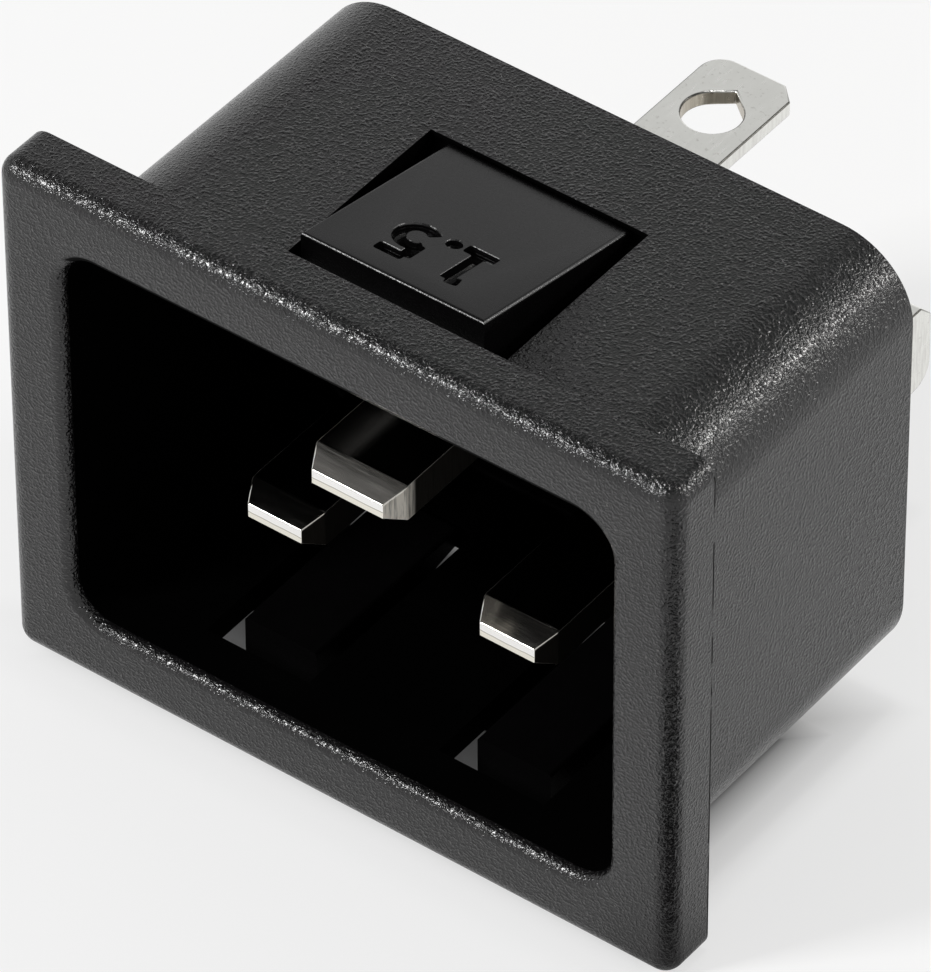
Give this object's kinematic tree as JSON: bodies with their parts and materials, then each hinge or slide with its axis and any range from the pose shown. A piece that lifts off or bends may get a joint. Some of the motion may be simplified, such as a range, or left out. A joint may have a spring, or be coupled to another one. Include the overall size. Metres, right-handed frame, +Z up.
{
  "type": "snap-in power inlet",
  "caption": "Snap-in panel power inlet: flanged black shroud with sprung latches, flat bent-strip solder tabs and three horizontal blade pins.",
  "frame": {"origin": "centre of the panel cut-out, in the plane of the flange's back face that seats on the panel", "axes": "+X to the right as seen from the front, +Y back through the panel towards the terminals, +Z up, earth pin above the power pins"},
  "size_m": [0.0372, 0.032, 0.029],
  "materials": {
    "housing_plastic": "fine spark-eroded grain",
    "latch_plastic": "smooth satin",
    "pin_metal": "bright nickel plate over brass",
    "terminal_metal": "satin tin plate over brass"
  },
  "bodies": {
    "inlet": {"housing": "housing_plastic", "earth_pin": "pin_metal", "left_power_pin": "pin_metal", "right_power_pin": "pin_metal", "earth_terminal": "terminal_metal", "left_power_terminal": "terminal_metal", "right_power_terminal": "terminal_metal"},
    "upper_latch_arm": {"upper_latch": "latch_plastic"},
    "left_latch_arm": {"lower_latch_left": "latch_plastic"},
    "right_latch_arm": {"lower_latch_right": "latch_plastic"}
  },
  "joints": [
    {"name": "upper_latch_bend", "type": "hinge", "parent": "inlet", "child": "upper_latch_arm", "pos_m": [0, 0.01202, 0.01143], "axis": [1, 0, 0], "range_deg": [0, 10], "stiffness_Nm_per_rad": 0.25},
    {"name": "left_latch_bend", "type": "hinge", "parent": "inlet", "child": "left_latch_arm", "pos_m": [-0.0066, 0.01202, -0.01143], "axis": [-1, 0, 0], "range_deg": [0, 10], "stiffness_Nm_per_rad": 0.15},
    {"name": "right_latch_bend", "type": "hinge", "parent": "inlet", "child": "right_latch_arm", "pos_m": [0.0066, 0.01202, -0.01143], "axis": [-1, 0, 0], "range_deg": [0, 10], "stiffness_Nm_per_rad": 0.15}
  ]
}
